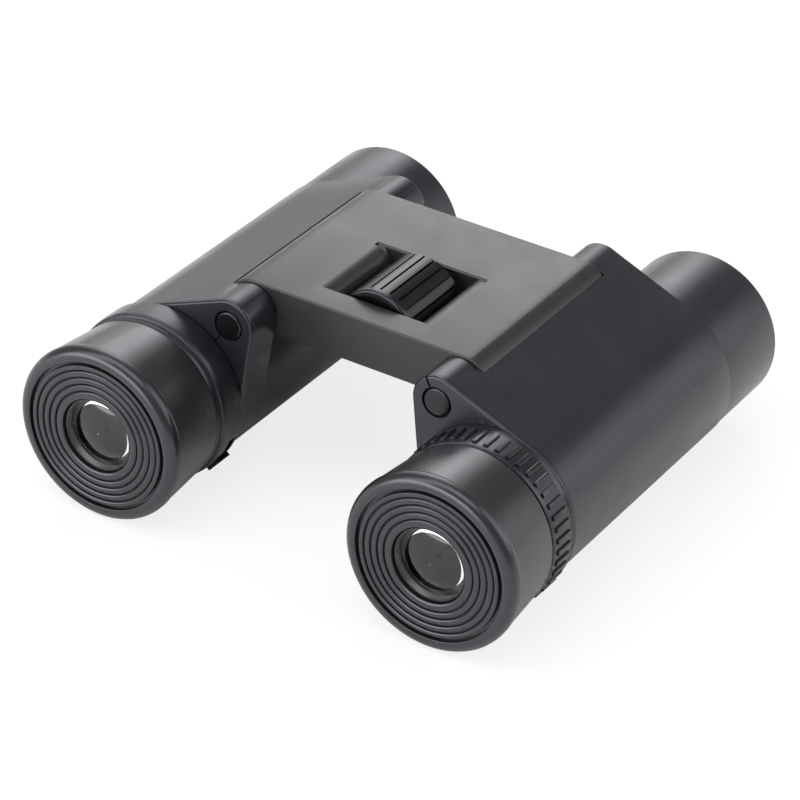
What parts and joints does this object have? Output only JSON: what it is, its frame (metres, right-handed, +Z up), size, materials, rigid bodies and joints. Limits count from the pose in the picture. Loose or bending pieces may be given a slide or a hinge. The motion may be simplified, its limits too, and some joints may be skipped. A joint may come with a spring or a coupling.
{
  "type": "binoculars",
  "caption": "Compact folding roof-prism binoculars: two barrels hinged to a flat bridge, with a ribbed focus wheel, dioptre ring and twist-up eyecups.",
  "frame": {"origin": "bottom centre of the object's box, under the middle of the bridge; the object lies on the lower sides of its eyecups", "axes": "+X from the left barrel to the right barrel as the user sees them, +Y forwards along the barrels towards what is looked at, +Z up"},
  "size_m": [0.1052, 0.1012, 0.0422],
  "materials": {
    "armour": "fine matte grain, slate grey",
    "bridge_paint": "satin fine-grain grey paint",
    "eyecup_plastic": "matte with fine concentric rings",
    "black_plastic": "satin black",
    "gloss_black": "gloss black",
    "black_metal": "black anodised",
    "grey_metal": "satin",
    "inner_plastic": "matte black",
    "spring_steel": "brushed",
    "brass": "turned",
    "nylon": "natural nylon",
    "coated_glass": "clear with a green and violet coating",
    "prism_glass": "polished"
  },
  "bodies": {
    "bridge": {"bridge_frame": "bridge_paint", "bridge_base_plate": "black_plastic", "base_plate_screws": "spring_steel", "hinge_bushes": "brass", "hinge_washers": "nylon", "screw_bushes": "brass"},
    "focus_drive": {"focus_wheel": "gloss_black", "focus_screw": "spring_steel", "screw_circlip": "spring_steel"},
    "focus_carriage": {"focus_carriage": "grey_metal", "focus_spools": "brass"},
    "left_barrel": {"left_housing": "armour", "left_objective_tube": "armour", "left_objective_crown": "coated_glass", "left_objective_flint": "coated_glass", "left_objective_ring": "black_metal", "left_prism_holder": "inner_plastic", "left_roof_prism": "prism_glass", "left_half_prism": "prism_glass", "left_prism_clip": "spring_steel", "left_eyepiece_tube": "grey_metal", "left_hinge_pin": "spring_steel", "left_hinge_caps": "gloss_black", "left_strap_lug": "black_plastic", "left_collar": "armour", "left_eyepiece_cell": "black_metal", "left_field_lens": "coated_glass", "left_eye_lens": "coated_glass"},
    "right_barrel": {"right_housing": "armour", "right_objective_tube": "armour", "right_objective_crown": "coated_glass", "right_objective_flint": "coated_glass", "right_objective_ring": "black_metal", "right_prism_holder": "inner_plastic", "right_roof_prism": "prism_glass", "right_half_prism": "prism_glass", "right_prism_clip": "spring_steel", "right_eyepiece_tube": "grey_metal", "right_hinge_pin": "spring_steel", "right_hinge_caps": "gloss_black", "right_strap_lug": "black_plastic"},
    "left_focus_cell": {"left_focus_cell": "inner_plastic", "left_focus_lens": "coated_glass", "left_focus_arm": "spring_steel"},
    "right_focus_cell": {"right_focus_cell": "inner_plastic", "right_focus_lens": "coated_glass", "right_focus_arm": "spring_steel"},
    "dioptre_ring": {"dioptre_ring": "black_plastic", "dioptre_pin": "spring_steel"},
    "right_eyepiece_cell": {"right_eyepiece_cell": "black_metal", "right_field_lens": "coated_glass", "right_eye_lens": "coated_glass"},
    "left_eyecup_glide": {"left_eyecup_glide_ring": "nylon"},
    "left_eyecup": {"left_eyecup": "eyecup_plastic", "left_eyecup_sleeve": "inner_plastic"},
    "right_eyecup_glide": {"right_eyecup_glide_ring": "nylon"},
    "right_eyecup": {"right_eyecup": "eyecup_plastic", "right_eyecup_sleeve": "inner_plastic"}
  },
  "joints": [
    {"name": "left_hinge", "type": "hinge", "parent": "bridge", "child": "left_barrel", "pos_m": [-0.0222, 0.0014, 0.03435], "axis": [0, -1, 0], "range_deg": [-4, 48]},
    {"name": "right_hinge", "type": "hinge", "parent": "bridge", "child": "right_barrel", "pos_m": [0.0222, 0.0014, 0.03435], "axis": [0, 1, 0], "range_deg": [-4, 48]},
    {"name": "focus_wheel_turn", "type": "hinge", "parent": "bridge", "child": "focus_drive", "pos_m": [0, -0.0047, 0.03435], "axis": [0, 1, 0], "range_deg": [-180, 180]},
    {"name": "focus_carriage_slide", "type": "slide", "parent": "bridge", "child": "focus_carriage", "axis": [0, 1, 0], "range_m": [-0.0015, 0.0015]},
    {"name": "left_focus_slide", "type": "slide", "parent": "left_barrel", "child": "left_focus_cell", "axis": [0, 1, 0], "range_m": [-0.00151, 0.00151]},
    {"name": "right_focus_slide", "type": "slide", "parent": "right_barrel", "child": "right_focus_cell", "axis": [0, 1, 0], "range_m": [-0.00151, 0.00151]},
    {"name": "dioptre_turn", "type": "hinge", "parent": "right_barrel", "child": "dioptre_ring", "pos_m": [0.0353, -0.0317, 0.01735], "axis": [0, 1, 0], "range_deg": [-60, 60]},
    {"name": "dioptre_slide", "type": "slide", "parent": "right_barrel", "child": "right_eyepiece_cell", "axis": [0, 1, 0], "range_m": [-0.00061, 0.00061]},
    {"name": "left_eyecup_slide", "type": "slide", "parent": "left_barrel", "child": "left_eyecup_glide", "axis": [0, -1, 0], "range_m": [-0.00001, 0.00601]},
    {"name": "left_eyecup_twist", "type": "hinge", "parent": "left_eyecup_glide", "child": "left_eyecup", "pos_m": [-0.0353, -0.0406, 0.01735], "axis": [0, -1, 0], "range_deg": [0, 120]},
    {"name": "right_eyecup_slide", "type": "slide", "parent": "right_barrel", "child": "right_eyecup_glide", "axis": [0, -1, 0], "range_m": [-0.00001, 0.00601]},
    {"name": "right_eyecup_twist", "type": "hinge", "parent": "right_eyecup_glide", "child": "right_eyecup", "pos_m": [0.0353, -0.0406, 0.01735], "axis": [0, -1, 0], "range_deg": [0, 120]}
  ],
  "couplings": [
    {"joint": "focus_wheel_turn", "follows": "focus_carriage_slide", "rad_per_m": 2094.4},
    {"joint": "left_focus_slide", "follows": "focus_carriage_slide", "ratio": 1},
    {"joint": "right_focus_slide", "follows": "focus_carriage_slide", "ratio": 1},
    {"joint": "dioptre_slide", "follows": "dioptre_turn", "m_per_rad": 0.00057296},
    {"joint": "left_eyecup_slide", "follows": "left_eyecup_twist", "m_per_rad": 0.0028648},
    {"joint": "right_eyecup_slide", "follows": "right_eyecup_twist", "m_per_rad": 0.0028648}
  ]
}
